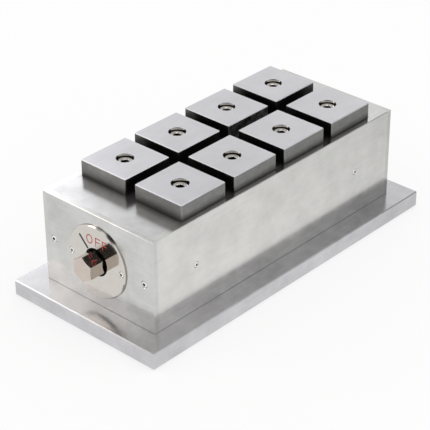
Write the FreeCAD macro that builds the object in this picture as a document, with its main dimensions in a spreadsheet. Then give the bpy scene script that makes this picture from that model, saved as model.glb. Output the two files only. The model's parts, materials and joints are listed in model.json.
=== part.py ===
import FreeCAD, Part
import math
import os
import re
import Sketcher

# Switchable permanent-magnet clamping block.
# Row frame: +X runs along the block from its drive end to its rear end, +Y across it, +Z up.
# The origin is at the middle of the base plate's underside.  All sizes are in millimetres.

# Counts are fixed by the design: four pole stations along the block, two rows across it.
stations = 4
rows = {"near": -1, "far": 1}

# Driving sizes, each written once.
sizes = {
    # base plate, which stands out all round the block as a clamping ledge
    "end_ledge": 20.5,
    "side_ledge": 18.25,
    "plate_thickness": 14.5,
    "plate_bevel": 0.8,
    # pole field on top
    "pole_side": 50.0,
    "pole_gap": 10.5,
    "pole_height": 14.0,
    "pole_bevel": 0.6,
    "drive_zone": 37.5,
    "rear_zone": 25.0,
    # block and its cover plates
    "body_height": 82.5,
    "side_cover": 5.5,
    "end_cover": 5.0,
    "top_cover": 5.0,
    "cover_bevel": 0.5,
    "isolator_thickness": 6.0,
    # windows of the top cover, smaller than the poles that sit on them
    "window_inset": 2.0,
    "window_clearance": 0.1,
    # rotor in the middle of the block
    "rotor_radius": 24.0,
    "air_gap": 0.5,
    "square_side": 15.5,
    "magnet_inset": 1.5,
    "end_plate": 5.0,
    "shaft_radius": 11.0,
    "rear_journal_radius": 9.0,
    "shaft_end_space": 1.0,
    "hex_flats": 19.0,
    "hex_reach": 17.5,
    "hex_bevel": 1.4,
    # bearings and seal
    "bush_wall": 4.0,
    "seal_width": 5.0,
    "thrust_washer": 1.0,
    "washer_ring": 5.5,
    "running_clearance": 0.03,
    "axial_play": 0.1,
    "seat_clearance": 0.02,
    # stop that limits the turn
    "stop_inset": 4.0,
    "stop_pin_radius": 2.5,
    "stop_slot_clearance": 0.2,
    "stop_turn": 90.0,
    "stop_reach": 5.0,
    "stop_slot_spare": 1.0,
    # dial plate round the drive hexagon
    "dial_radius": 31.5,
    "dial_thickness": 2.0,
    "dial_bevel": 0.8,
    "dial_hole_radius": 12.2,
    "dial_screw_offset": 27.5,
    "cover_bore_radius": 13.0,
    # cap screws of the poles and of the base
    "cap_radius": 4.0,
    "cap_head_radius": 6.5,
    "cap_head_height": 8.0,
    "cap_socket_flats": 6.0,
    "cap_socket_depth": 4.0,
    "cap_bevel": 0.6,
    "cap_bore_radius": 7.5,
    "cap_bore_depth": 9.0,
    "cap_clearance": 0.5,
    "cap_grip": 12.0,
    # small countersunk screws of the side covers and the dial
    "small_radius": 1.5,
    "small_head_radius": 2.75,
    "small_socket_flats": 2.0,
    "small_socket_depth": 1.1,
    "small_clearance": 0.1,
    "small_grip": 7.0,
    "side_screw_margin": 47.8,
    # larger countersunk screws of the end covers
    "end_screw_radius": 2.0,
    "end_head_radius": 3.2,
    "end_socket_flats": 2.5,
    "end_socket_depth": 1.1,
    "end_screw_margin": 10.35,
    # screws that hold the rotor's pole segments to its shaft
    "segment_screw_radius": 2.0,
    "segment_head_radius": 3.5,
    "segment_head_height": 4.0,
    "segment_socket_flats": 3.0,
    "segment_socket_depth": 2.0,
    "segment_screw_bevel": 0.3,
    "segment_head_sink": 1.5,
    "segment_grip": 6.0,
    # spare depth below every screw in its thread
    "thread_spare": 1.0,
}

# Sizes that follow from the driving ones.  Heights of the core are counted from the rotor's axis.
derived = {
    "pole_pitch": "pole_side + pole_gap",
    "row_offset": "pole_pitch / 2",
    "core_side": "pole_gap / 2 + pole_side",
    "body_width": "2 * (core_side + side_cover)",
    "pole_field": "%d * pole_side + %d * pole_gap" % (stations, stations - 1),
    "body_length": "drive_zone + pole_field + rear_zone",
    "plate_length": "body_length + 2 * end_ledge",
    "plate_width": "body_width + 2 * side_ledge",
    "drive_face": "-body_length / 2",
    "rear_face": "body_length / 2",
    "core_start": "drive_face + end_cover",
    "core_end": "rear_face - end_cover",
    "field_start": "drive_face + drive_zone",
    "field_end": "field_start + pole_field",
    "body_top": "plate_thickness + body_height",
    "rotor_axis": "plate_thickness + body_height / 2",
    "core_floor": "isolator_thickness - body_height / 2",
    "core_roof": "body_height / 2 - top_cover",
    "boss_half": "pole_side / 2 - window_inset",
    "window_half": "boss_half + window_clearance",
    "bore_radius": "rotor_radius + air_gap",
    "pocket_depth": "end_plate + thrust_washer + axial_play",
    "square_half": "square_side / 2",
    "magnet_reach": "rotor_radius - magnet_inset",
    "socket_half": "square_half + seat_clearance",
    "shaft_tip": "drive_face - hex_reach",
    "shaft_end": "core_end - shaft_end_space",
    "drive_bush_radius": "shaft_radius + bush_wall",
    "rear_bush_radius": "rear_journal_radius + bush_wall",
    "drive_floor": "field_start - pocket_depth",
    "rear_floor": "field_end + pocket_depth",
    "stop_circle": "rotor_radius - stop_inset",
    "stop_slot_half": "stop_pin_radius + stop_slot_clearance",
    "stop_across": "stop_circle * sin(stop_turn / 2 * 1 deg)",
    "stop_up": "stop_circle * cos(stop_turn / 2 * 1 deg)",
    "cap_hole_radius": "cap_radius + cap_clearance",
    "pole_screw_length": "pole_height - cap_bore_depth + cap_grip",
    "base_screw_length": "plate_thickness - cap_bore_depth + isolator_thickness + cap_grip",
    "small_hole_radius": "small_radius + small_clearance",
    "small_sink": "small_head_radius - small_radius",
    "side_screw_offset": "body_length / 2 - side_screw_margin",
    "end_screw_offset": "body_width / 2 - end_screw_margin",
    "end_hole_radius": "end_screw_radius + small_clearance",
    "end_sink": "end_head_radius - end_screw_radius",
    "end_screw_length": "end_cover + small_grip",
    "side_screw_length": "side_cover + small_grip",
    "dial_screw_length": "dial_thickness + end_cover",
    "segment_seat": "rotor_radius - segment_head_sink - segment_head_height",
    "segment_screw_length": "segment_seat - square_half + segment_grip",
}

doc = FreeCAD.newDocument("magnetic_chuck")

sheet = doc.addObject("Spreadsheet::Sheet", "sizes")
for row, (word, number) in enumerate(sizes.items(), 1):
    sheet.set("B%d" % row, str(number))
    sheet.setAlias("B%d" % row, word)
doc.recompute()

layout = doc.addObject("App::VarSet", "layout")


# Text with the names of sizes in it, as an expression that FreeCAD can bind a property to.
def bound(text, own=""):
    def full_name(match):
        word = match.group(0)
        if word in sizes:
            return "sizes." + word
        if word in derived:
            return word if own == "layout" else "layout." + word
        return word
    return re.sub(r"[a-z_]+", full_name, text)


for word, rule in derived.items():
    layout.addProperty("App::PropertyFloat", word)
    layout.setExpression(word, bound(rule, own="layout"))
doc.recompute()


# The present value of a named size.
def value(word):
    if word in sizes:
        return float(sheet.get(word))
    return getattr(layout, word)


# ---- sketches and features -------------------------------------------------------------------

# Planes of a body's origin, and the sign of each one's normal along its own axis.
plane_sign = {"XY_Plane": 1, "YZ_Plane": 1, "XZ_Plane": -1}


def new_body(name, across_x="0", across_y="0", up="0"):
    body = doc.addObject("PartDesign::Body", name)
    body.Label = name
    for letter, text in (("x", across_x), ("y", across_y), ("z", up)):
        body.setExpression("Placement.Base." + letter, bound(text))
    return body


def new_sketch(body, plane, level="0"):
    sketch = body.newObject("Sketcher::SketchObject", body.Name + "_sketch")
    origin_plane = [item for item in body.Origin.OriginFeatures if item.Role == plane][0]
    sketch.AttachmentSupport = [(origin_plane, "")]
    sketch.MapMode = "FlatFace"
    sketch.setExpression("AttachmentOffset.Base.z", bound("%d * (%s)" % (plane_sign[plane], level)))
    return sketch


# Ties one point of a sketch's element to the origin by two bound distances.
def tie_point(sketch, element, point, across, up):
    for kind, text in (("DistanceX", across), ("DistanceY", up)):
        number = sketch.addConstraint(Sketcher.Constraint(kind, -1, 1, element, point, 1.0))
        sketch.setExpression("Constraints[%d]" % number, bound(text))


def draw_outline(sketch, points):
    first = sketch.GeometryCount
    count = len(points)
    ring = []
    for index in range(count):
        turn = 2 * math.pi * index / count
        ring.append(FreeCAD.Vector(math.cos(turn), math.sin(turn), 0))
    for index in range(count):
        sketch.addGeometry(Part.LineSegment(ring[index], ring[(index + 1) % count]), False)
    for index in range(count):
        following = first + (index + 1) % count
        sketch.addConstraint(Sketcher.Constraint("Coincident", first + index, 2, following, 1))
    for index, (across, up) in enumerate(points):
        tie_point(sketch, first + index, 1, across, up)


def draw_circle(sketch, across, up, radius):
    element = sketch.addGeometry(Part.Circle(FreeCAD.Vector(0, 0, 0), FreeCAD.Vector(0, 0, 1), 1.0), False)
    tie_point(sketch, element, 3, across, up)
    number = sketch.addConstraint(Sketcher.Constraint("Radius", element, 1.0))
    sketch.setExpression("Constraints[%d]" % number, bound(radius))


def rectangle(left, right, bottom, top):
    return [(left, bottom), (right, bottom), (right, top), (left, top)]


def square(half):
    return rectangle("-" + half, half, "-" + half, half)


# Hexagon with two upright flats and a corner at the top.
def hexagon(flats):
    half = flats + " / 2"
    low = half + " * tan(30 deg)"
    tip = half + " / cos(30 deg)"
    return [(half, "-" + low), (half, low), ("0", tip), ("-" + half, low), ("-" + half, "-" + low), ("0", "-" + tip)]


# A pad or pocket of closed outlines and circles, from a level of a plane, towards +1 or -1 of its axis.
def extrude(kind, body, plane, level, length, outlines=(), circles=(), towards=1):
    sketch = new_sketch(body, plane, level)
    for points in outlines:
        draw_outline(sketch, points)
    for across, up, radius in circles:
        draw_circle(sketch, across, up, radius)
    feature = body.newObject("PartDesign::" + kind, body.Name + "_" + kind.lower())
    feature.Profile = sketch
    feature.setExpression("Length", bound(length))
    along_normal = towards * plane_sign[plane] > 0
    feature.Reversed = (kind == "Pocket") == along_normal
    return feature


def pad(body, plane, level, length, outlines=(), circles=(), towards=1):
    return extrude("Pad", body, plane, level, length, outlines, circles, towards)


def pocket(body, plane, level, length, outlines=(), circles=(), towards=1):
    return extrude("Pocket", body, plane, level, length, outlines, circles, towards)


# Round holes of one radius at several spots.
def drill(body, plane, level, depth, spots, radius, towards=1):
    return pocket(body, plane, level, depth, circles=[(x, y, radius) for x, y in spots], towards=towards)


# A profile drawn on the XZ plane, turned about the sketch's own axis.
def revolve(body, points, axis):
    sketch = new_sketch(body, "XZ_Plane")
    draw_outline(sketch, points)
    feature = body.newObject("PartDesign::Revolution", body.Name + "_revolution")
    feature.Profile = sketch
    feature.ReferenceAxis = (sketch, [axis])
    return feature


# Bevels the edges of a feature that pass a test on their bounding box.
def bevel(body, feature, size, test):
    doc.recompute()
    names = []
    for number, edge in enumerate(feature.Shape.Edges, 1):
        if test(edge.BoundBox, edge):
            names.append("Edge%d" % number)
    chamfer = body.newObject("PartDesign::Chamfer", body.Name + "_bevel")
    chamfer.Base = (feature, names)
    chamfer.setExpression("Size", bound(size))
    return chamfer


near_zero = 1e-4


def is_close(first, second):
    return abs(first - second) < near_zero


# Countersinks the mouths of screw holes of one radius on the face where x or y has the given value.
def countersink(body, feature, letter, level, hole_radius, sink):
    radius = value(hole_radius)

    def is_mouth(box, edge):
        round_edge = hasattr(edge.Curve, "Radius") and is_close(edge.Curve.Radius, radius)
        low = getattr(box, letter + "Min")
        high = getattr(box, letter + "Max")
        return round_edge and abs(low - level) < 0.01 and abs(high - level) < 0.01

    return bevel(body, feature, sink, is_mouth)


# ---- places that repeat ------------------------------------------------------------------------

def station_x(station):
    return "field_start + pole_side / 2 + %d * pole_pitch" % station


def row_y(side):
    return "%d * row_offset" % side


pole_spots = []
for side in rows.values():
    for station in range(stations):
        pole_spots.append((station_x(station), row_y(side)))

block_spots = []
for side in rows.values():
    block_spots.append(("(core_start + field_start) / 2", row_y(side)))
    block_spots.append(("(field_end + core_end) / 2", row_y(side)))

base_spots = pole_spots + block_spots
both_sides = (-1, 1)

# Every finished sub-part, by node name.
nodes = {}


# ---- base plate and isolator -------------------------------------------------------------------

def make_base_plate():
    body = new_body("base_plate")
    half_length = "plate_length / 2"
    half_width = "plate_width / 2"
    outline = rectangle("-" + half_length, half_length, "-" + half_width, half_width)
    slab = pad(body, "XY_Plane", "0", "plate_thickness", [outline])
    bevel(body, slab, "plate_bevel", lambda box, edge: True)
    drill(body, "XY_Plane", "0", "plate_thickness", base_spots, "cap_hole_radius")
    drill(body, "XY_Plane", "0", "cap_bore_depth", base_spots, "cap_bore_radius")
    nodes["base_plate"] = body


# The aluminium plate that keeps the magnetic circuit off the steel base.
def make_isolator_plate():
    body = new_body("isolator_plate", up="plate_thickness")
    outline = rectangle("core_start", "core_end", "-core_side", "core_side")
    pad(body, "XY_Plane", "0", "isolator_thickness", [outline])
    drill(body, "XY_Plane", "0", "isolator_thickness", base_spots, "cap_hole_radius")
    nodes["isolator_plate"] = body


# ---- covers ------------------------------------------------------------------------------------

def make_top_cover():
    body = new_body("top_cover", up="body_top - top_cover")
    outline = rectangle("core_start", "core_end", "-core_side", "core_side")
    pad(body, "XY_Plane", "0", "top_cover", [outline])
    windows = []
    for x, y in pole_spots:
        left, right = x + " - window_half", x + " + window_half"
        bottom, top = y + " - window_half", y + " + window_half"
        windows.append(rectangle(left, right, bottom, top))
    pocket(body, "XY_Plane", "0", "top_cover", windows)
    nodes["top_cover"] = body


def make_side_cover(row, side):
    name = "side_cover_" + row
    body = new_body(name, across_y="%d * core_side" % side, up="plate_thickness")
    outline = rectangle("core_start", "core_end", "0", "%d * side_cover" % side)
    slab = pad(body, "XY_Plane", "0", "body_height", [outline])
    outer = side * value("side_cover")
    height = value("body_height")

    def is_top_outer(box, edge):
        return is_close(box.ZMin, height) and is_close(box.YMin, outer) and is_close(box.YMax, outer)

    bevel(body, slab, "cover_bevel", is_top_outer)
    spots = [("%d * side_screw_offset" % end, "body_height / 2") for end in both_sides]
    holes = drill(body, "XZ_Plane", "0", "side_cover", spots, "small_hole_radius", towards=side)
    countersink(body, holes, "Y", outer, "small_hole_radius", "small_sink")
    nodes[name] = body


# An end cover; outward is -1 for the drive end and +1 for the rear end.
def make_end_cover(name, outward, face):
    body = new_body(name, across_x=face, up="rotor_axis")
    half_width, half_height = "body_width / 2", "body_height / 2"
    outline = rectangle("-" + half_width, half_width, "-" + half_height, half_height)
    slab = pad(body, "YZ_Plane", "0", "end_cover", [outline], towards=-outward)
    top = value("body_height") / 2

    def is_outer(box, edge):
        return is_close(box.XMin, 0) and is_close(box.XMax, 0) and box.ZMax > near_zero - top

    bevel(body, slab, "cover_bevel", is_outer)
    if outward < 0:
        drill(body, "YZ_Plane", "0", "end_cover", [("0", "0")], "cover_bore_radius", towards=-outward)
        dial_spots = [("%d * dial_screw_offset" % side, "0") for side in both_sides]
        drill(body, "YZ_Plane", "0", "end_cover", dial_spots, "small_radius + seat_clearance", towards=-outward)
    spots = [("%d * end_screw_offset" % side, "0") for side in both_sides]
    holes = drill(body, "YZ_Plane", "0", "end_cover", spots, "end_hole_radius", towards=-outward)
    countersink(body, holes, "X", 0, "end_hole_radius", "end_sink")
    nodes[name] = body


# ---- poles -------------------------------------------------------------------------------------

# The square steel block that the work sits on, with a counterbored hole for its screw.
def make_pole_extension(name, station, side):
    body = new_body(name, station_x(station), row_y(side), "body_top")
    slab = pad(body, "XY_Plane", "0", "pole_height", [square("pole_side / 2")])
    bevel(body, slab, "pole_bevel", lambda box, edge: box.ZMax > near_zero)
    drill(body, "XY_Plane", "0", "pole_height", [("0", "0")], "cap_hole_radius")
    drill(body, "XY_Plane", "pole_height", "cap_bore_depth", [("0", "0")], "cap_bore_radius", towards=-1)
    nodes[name] = body


# The soft-iron shoe that carries the flux from the rotor's side up through the top cover.
def make_pole_shoe(name, station, side):
    body = new_body(name, station_x(station), "0", "rotor_axis")
    middle = row_y(side)
    half = "pole_side / 2"
    outline = rectangle("-" + half, half, "%d * pole_gap / 2" % side, "%d * core_side" % side)
    pad(body, "XY_Plane", "core_floor", "core_roof - core_floor", [outline])
    boss = rectangle("-boss_half", "boss_half", middle + " - boss_half", middle + " + boss_half")
    pad(body, "XY_Plane", "core_roof", "top_cover", [boss])
    drill(body, "YZ_Plane", "-" + half, "pole_side", [("0", "0")], "bore_radius")
    thread = "cap_radius + seat_clearance"
    depth = "cap_grip + thread_spare"
    drill(body, "XY_Plane", "body_height / 2", depth, [("0", middle)], thread, towards=-1)
    drill(body, "XY_Plane", "core_floor", depth, [("0", middle)], thread)
    if station in (0, stations - 1):
        end = -1 if station == 0 else 1
        spot = ("%d * side_screw_offset - (%s)" % (end, station_x(station)), "0")
        small_depth = "small_grip + thread_spare"
        small_thread = "small_radius + seat_clearance"
        drill(body, "XZ_Plane", "%d * core_side" % side, small_depth, [spot], small_thread, towards=-side)
    nodes[name] = body


# ---- non-magnetic core -------------------------------------------------------------------------

def make_web_plate(name, gap):
    body = new_body(name, "field_start + pole_side + %d * pole_pitch" % gap, "0", "rotor_axis")
    outline = rectangle("-core_side", "core_side", "core_floor", "core_roof")
    pad(body, "YZ_Plane", "0", "pole_gap", [outline], [("0", "0", "bore_radius")])
    nodes[name] = body


# A plain bar with every side bound to the sizes.
def make_bar(name, start, length, low_y, width, low_z, height):
    bar = doc.addObject("Part::Box", name)
    for item, text in (("Length", length), ("Width", width), ("Height", height)):
        bar.setExpression(item, bound(text))
    for letter, text in (("x", start), ("y", low_y), ("z", low_z)):
        bar.setExpression("Placement.Base." + letter, bound(text))
    return bar


def make_group(name, members):
    group = doc.addObject("Part::Compound", name)
    group.Label = name
    group.Links = members
    nodes[name] = group


# The bars that part the two rows of shoes above and below the rotor.
def make_centre_spacers():
    levels = {
        "upper": ("rotor_axis + bore_radius", "core_roof - bore_radius"),
        "lower": ("rotor_axis + core_floor", "-core_floor - bore_radius"),
    }
    for place, (low, height) in levels.items():
        bars = []
        for station in range(stations):
            start = station_x(station) + " - pole_side / 2"
            bar_name = "centre_bar_%s_%d" % (place, station + 1)
            bars.append(make_bar(bar_name, start, "pole_side", "-pole_gap / 2", "pole_gap", low, height))
        make_group("centre_spacers_" + place, bars)


# ---- bearing blocks ----------------------------------------------------------------------------

# A block at one end of the pole field; outward is the way from the field to the end cover.
def make_bearing_block(name, outward, face, length, bush_radius):
    body = new_body(name, face, "0", "rotor_axis")
    outline = rectangle("-core_side", "core_side", "core_floor", "core_roof")
    pad(body, "YZ_Plane", "0", length, [outline], towards=outward)
    drill(body, "YZ_Plane", "0", "pocket_depth", [("0", "0")], "bore_radius", towards=outward)
    drill(body, "YZ_Plane", "0", length, [("0", "0")], bush_radius + " + seat_clearance", towards=outward)
    middle = "%d * (%s) / 2" % (outward, length)
    foot_spots = [(middle, row_y(side)) for side in rows.values()]
    drill(body, "XY_Plane", "core_floor", "cap_grip + thread_spare", foot_spots, "cap_radius + seat_clearance")
    cover_spots = [("%d * end_screw_offset" % side, "0") for side in both_sides]
    outer = "%d * (%s)" % (outward, length)
    depth = "small_grip + thread_spare"
    drill(body, "YZ_Plane", outer, depth, cover_spots, "end_screw_radius + seat_clearance", towards=-outward)
    nodes[name] = body
    return body


# The curved slot in the drive block's pocket, in which the rotor's stop pin travels.
def cut_stop_slot(body):
    depth = "stop_reach + stop_slot_spare"
    sketch = new_sketch(body, "XZ_Plane")
    deep_end = "-pocket_depth - %s" % depth.replace(" + ", " - ")
    low, high = "stop_circle - stop_slot_half", "stop_circle + stop_slot_half"
    draw_outline(sketch, rectangle(deep_end, "-pocket_depth", low, high))
    groove = body.newObject("PartDesign::Groove", "stop_slot")
    groove.Profile = sketch
    groove.ReferenceAxis = (sketch, ["H_Axis"])
    groove.Midplane = True
    groove.setExpression("Angle", bound("stop_turn"))
    ends = [("%d * stop_across" % side, "stop_up") for side in both_sides]
    drill(body, "YZ_Plane", "-pocket_depth", depth, ends, "stop_slot_half", towards=-1)


# A ring on the rotor's axis.
def make_ring(name, start, length, inner, outer):
    body = new_body(name, start, "0", "rotor_axis")
    pad(body, "YZ_Plane", "0", length, circles=[("0", "0", inner), ("0", "0", outer)])
    nodes[name] = body


def make_bearings():
    drive_inner = "shaft_radius + running_clearance"
    rear_inner = "rear_journal_radius + running_clearance"
    make_ring("bush_drive", "core_start + seal_width", "drive_floor - core_start - seal_width",
              drive_inner, "drive_bush_radius")
    make_ring("bush_rear", "rear_floor", "core_end - rear_floor", rear_inner, "rear_bush_radius")
    make_ring("shaft_seal", "core_start", "seal_width", drive_inner, "drive_bush_radius")
    make_ring("thrust_washer_drive", "drive_floor", "thrust_washer",
              drive_inner, "shaft_radius + washer_ring")
    make_ring("thrust_washer_rear", "rear_floor - thrust_washer", "thrust_washer",
              rear_inner, "rear_journal_radius + washer_ring")


# ---- rotor -------------------------------------------------------------------------------------

# One bar: drive hexagon, front journal, square for the magnets, rear journal.
def make_rotor_shaft():
    body = new_body("rotor_shaft", up="rotor_axis")
    profile = [
        ("shaft_tip", "0"),
        ("shaft_tip", "shaft_radius - hex_bevel"),
        ("shaft_tip + hex_bevel / 2", "shaft_radius"),
        ("field_end + end_plate", "shaft_radius"),
        ("field_end + end_plate", "rear_journal_radius"),
        ("shaft_end", "rear_journal_radius"),
        ("shaft_end", "0"),
    ]
    revolve(body, profile, "H_Axis")
    stock = ("0", "0", "shaft_radius + 1")
    pocket(body, "YZ_Plane", "field_start - end_plate", "pole_field + 2 * end_plate",
           [square("square_half")], [stock])
    pocket(body, "YZ_Plane", "shaft_tip", "hex_reach + end_cover", [hexagon("hex_flats")], [stock])
    spots = [(station_x(station), "0") for station in range(stations)]
    drill(body, "XY_Plane", "-square_half", "square_side", spots, "segment_screw_radius + seat_clearance")
    nodes["rotor_shaft"] = body


# A soft-iron pole segment of the rotor, a round bar with one flat, above or below the shaft.
def make_rotor_segment(name, station, side):
    body = new_body(name, station_x(station), "0", "rotor_axis")
    pad(body, "YZ_Plane", "-pole_side / 2", "pole_side", circles=[("0", "0", "rotor_radius")])
    waste = rectangle("-bore_radius", "bore_radius", "%d * square_half" % side, "%d * bore_radius" % -side)
    pocket(body, "YZ_Plane", "-pole_side / 2", "pole_side", [waste])
    rim = "%d * rotor_radius" % side
    drill(body, "XY_Plane", rim, "rotor_radius - segment_seat", [("0", "0")],
          "segment_head_radius + small_clearance", towards=-side)
    drill(body, "XY_Plane", rim, "rotor_radius", [("0", "0")],
          "segment_screw_radius + small_clearance", towards=-side)
    nodes[name] = body


# Blocks of magnet on both sides of the shaft, between the pole segments.
def make_rotor_magnets():
    bars = []
    for station in range(stations):
        start = station_x(station) + " - pole_side / 2"
        for side, low_y in (("near", "-magnet_reach"), ("far", "square_half")):
            bar_name = "magnet_%s_%d" % (side, station + 1)
            bars.append(make_bar(bar_name, start, "pole_side", low_y, "magnet_reach - square_half",
                                 "rotor_axis - square_half", "square_side"))
    make_group("rotor_magnets", bars)


# A disc on the rotor's square, as a spacer between stations or as an end plate.
def make_rotor_disc(name, start, thickness):
    body = new_body(name, start, "0", "rotor_axis")
    pad(body, "YZ_Plane", "0", thickness, [square("socket_half")], [("0", "0", "rotor_radius")])
    nodes[name] = body
    return body


def make_rotor_discs():
    for gap in range(stations - 1):
        start = "field_start + pole_side + %d * pole_pitch" % gap
        make_rotor_disc("rotor_spacer_%d" % (gap + 1), start, "pole_gap")
    drive = make_rotor_disc("rotor_end_plate_drive", "field_start - end_plate", "end_plate")
    drill(drive, "YZ_Plane", "0", "end_plate", [("-stop_across", "stop_up")], "stop_pin_radius + seat_clearance")
    make_rotor_disc("rotor_end_plate_rear", "field_end", "end_plate")


# The pin stands in the drive end plate and reaches into the slot of the bearing block.
def make_stop_pin():
    body = new_body("stop_pin", "drive_floor - stop_reach", "0", "rotor_axis")
    pad(body, "YZ_Plane", "0", "pocket_depth + stop_reach",
        circles=[("-stop_across", "stop_up", "stop_pin_radius")])
    nodes["stop_pin"] = body


# ---- dial plate --------------------------------------------------------------------------------

def make_dial_plate():
    body = new_body("dial_plate", "drive_face", "0", "rotor_axis")
    profile = [
        ("0", "dial_hole_radius"),
        ("0", "dial_radius"),
        ("dial_bevel - dial_thickness", "dial_radius"),
        ("-dial_thickness", "dial_radius - dial_bevel"),
        ("-dial_thickness", "dial_hole_radius"),
    ]
    revolve(body, profile, "H_Axis")
    spots = [("%d * dial_screw_offset" % side, "0") for side in both_sides]
    holes = drill(body, "YZ_Plane", "-dial_thickness", "dial_thickness", spots, "small_hole_radius")
    countersink(body, holes, "X", -value("dial_thickness"), "small_hole_radius", "small_sink")
    nodes["dial_plate"] = body


# ---- screws ------------------------------------------------------------------------------------

# A cap screw that stands upright with the underside of its head at the origin.
def make_cap_screw(name, radius, length, head_radius, head_height, edge, socket_flats, socket_depth):
    body = new_body(name)
    profile = [
        ("0", "-" + length),
        (radius, "-" + length),
        (radius, "0"),
        (head_radius, "0"),
        (head_radius, head_height + " - " + edge),
        (head_radius + " - " + edge, head_height),
        ("0", head_height),
    ]
    revolve(body, profile, "V_Axis")
    pocket(body, "XY_Plane", head_height, socket_depth, [hexagon(socket_flats)], towards=-1)
    return body


# A countersunk screw that stands upright with the top of its head at the origin.
def make_flat_screw(name, length, radius, head_radius, sink, socket_flats, socket_depth):
    body = new_body(name)
    profile = [
        ("0", "-" + length),
        (radius, "-" + length),
        (radius, "-" + sink),
        (head_radius, "0"),
        ("0", "0"),
    ]
    revolve(body, profile, "V_Axis")
    pocket(body, "XY_Plane", "0", socket_depth, [hexagon(socket_flats)], towards=-1)
    return body


# Copies of one screw at several points, with the head's upward side turned to face a direction.
def place_screws(name, screw, places):
    doc.recompute()
    upright = FreeCAD.Vector(0, 0, 1)
    copies = []
    for point, facing in places:
        copy = screw.Shape.copy()
        copy.Placement = FreeCAD.Placement(FreeCAD.Vector(*point), FreeCAD.Rotation(upright, FreeCAD.Vector(*facing)))
        copies.append(copy)
    group = doc.addObject("Part::Feature", name)
    group.Label = name
    group.Shape = Part.makeCompound(copies)
    nodes[name] = group


def make_screws():
    axis_z = value("rotor_axis")
    xs = [value("field_start") + value("pole_side") / 2 + station * value("pole_pitch") for station in range(stations)]
    ys = [side * value("row_offset") for side in rows.values()]
    up, down = (0, 0, 1), (0, 0, -1)

    cap_shape = ("cap_head_radius", "cap_head_height", "cap_bevel", "cap_socket_flats", "cap_socket_depth")
    pole_screw = make_cap_screw("pole_screw", "cap_radius", "pole_screw_length", *cap_shape)
    seat = value("body_top") + value("pole_height") - value("cap_bore_depth")
    place_screws("pole_screws", pole_screw, [((x, y, seat), up) for y in ys for x in xs])

    base_screw = make_cap_screw("base_screw", "cap_radius", "base_screw_length", *cap_shape)
    block_xs = [(value("core_start") + value("field_start")) / 2, (value("field_end") + value("core_end")) / 2]
    seat = value("cap_bore_depth")
    place_screws("base_screws", base_screw, [((x, y, seat), down) for y in ys for x in xs + block_xs])

    segment_shape = ("segment_head_radius", "segment_head_height", "segment_screw_bevel",
                     "segment_socket_flats", "segment_socket_depth")
    segment_screw = make_cap_screw("segment_screw", "segment_screw_radius", "segment_screw_length", *segment_shape)
    seat = value("segment_seat")
    places = [((x, 0, axis_z + seat), up) for x in xs] + [((x, 0, axis_z - seat), down) for x in xs]
    place_screws("segment_screws", segment_screw, places)

    small_shape = ("small_radius", "small_head_radius", "small_sink", "small_socket_flats", "small_socket_depth")
    side_screw = make_flat_screw("side_screw", "side_screw_length", *small_shape)
    outer = value("body_width") / 2
    places = []
    for end in both_sides:
        for side in both_sides:
            places.append(((end * value("side_screw_offset"), side * outer, axis_z), (0, side, 0)))
    place_screws("side_cover_screws", side_screw, places)

    end_shape = ("end_screw_radius", "end_head_radius", "end_sink", "end_socket_flats", "end_socket_depth")
    end_screw = make_flat_screw("end_screw", "end_screw_length", *end_shape)
    places = []
    for end in both_sides:
        for side in both_sides:
            places.append(((end * value("rear_face"), side * value("end_screw_offset"), axis_z), (end, 0, 0)))
    place_screws("end_cover_screws", end_screw, places)

    dial_screw = make_flat_screw("dial_screw", "dial_screw_length", *small_shape)
    front = value("drive_face") - value("dial_thickness")
    places = [((front, side * value("dial_screw_offset"), axis_z), (-1, 0, 0)) for side in both_sides]
    place_screws("dial_screws", dial_screw, places)


# ---- the whole chuck ---------------------------------------------------------------------------

make_base_plate()
make_isolator_plate()
make_top_cover()
for row, side in rows.items():
    make_side_cover(row, side)
make_end_cover("end_cover_drive", -1, "drive_face")
make_end_cover("end_cover_rear", 1, "rear_face")

number = 0
for row, side in rows.items():
    for station in range(stations):
        number += 1
        make_pole_extension("pole_extension_%d" % number, station, side)
        make_pole_shoe("pole_shoe_%d" % number, station, side)

for gap in range(stations - 1):
    make_web_plate("web_plate_%d" % (gap + 1), gap)
make_centre_spacers()

drive_block = make_bearing_block("bearing_block_drive", -1, "field_start", "drive_zone - end_cover", "drive_bush_radius")
cut_stop_slot(drive_block)
make_bearing_block("bearing_block_rear", 1, "field_end", "rear_zone - end_cover", "rear_bush_radius")
make_bearings()

make_rotor_shaft()
for station in range(stations):
    make_rotor_segment("rotor_segment_upper_%d" % (station + 1), station, 1)
    make_rotor_segment("rotor_segment_lower_%d" % (station + 1), station, -1)
make_rotor_magnets()
make_rotor_discs()
make_stop_pin()

make_dial_plate()
make_screws()
doc.recompute()


# ---- checks and export -------------------------------------------------------------------------

def check_document():
    for item in doc.Objects:
        if "Invalid" in item.State or "Error" in item.State:
            raise RuntimeError("%s failed: %s" % (item.Label, item.State))
        if item.TypeId in ("PartDesign::Pocket", "PartDesign::Groove"):
            removed = item.BaseFeature.Shape.Volume - item.Shape.Volume
            if removed < near_zero:
                raise RuntimeError("%s removes nothing" % item.Label)
    for name, item in nodes.items():
        if item.Shape.isNull() or not item.Shape.isValid() or not item.Shape.Solids:
            raise RuntimeError("%s has no valid shape" % name)


check_document()
os.makedirs("parts", exist_ok=True)
for name, item in nodes.items():
    item.Shape.exportStep("parts/%s.step" % name)
print("%d sub-parts written" % len(nodes))
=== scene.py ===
import json
import math

import bmesh
import bpy
import numpy as np
from mathutils import Matrix, Vector


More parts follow.
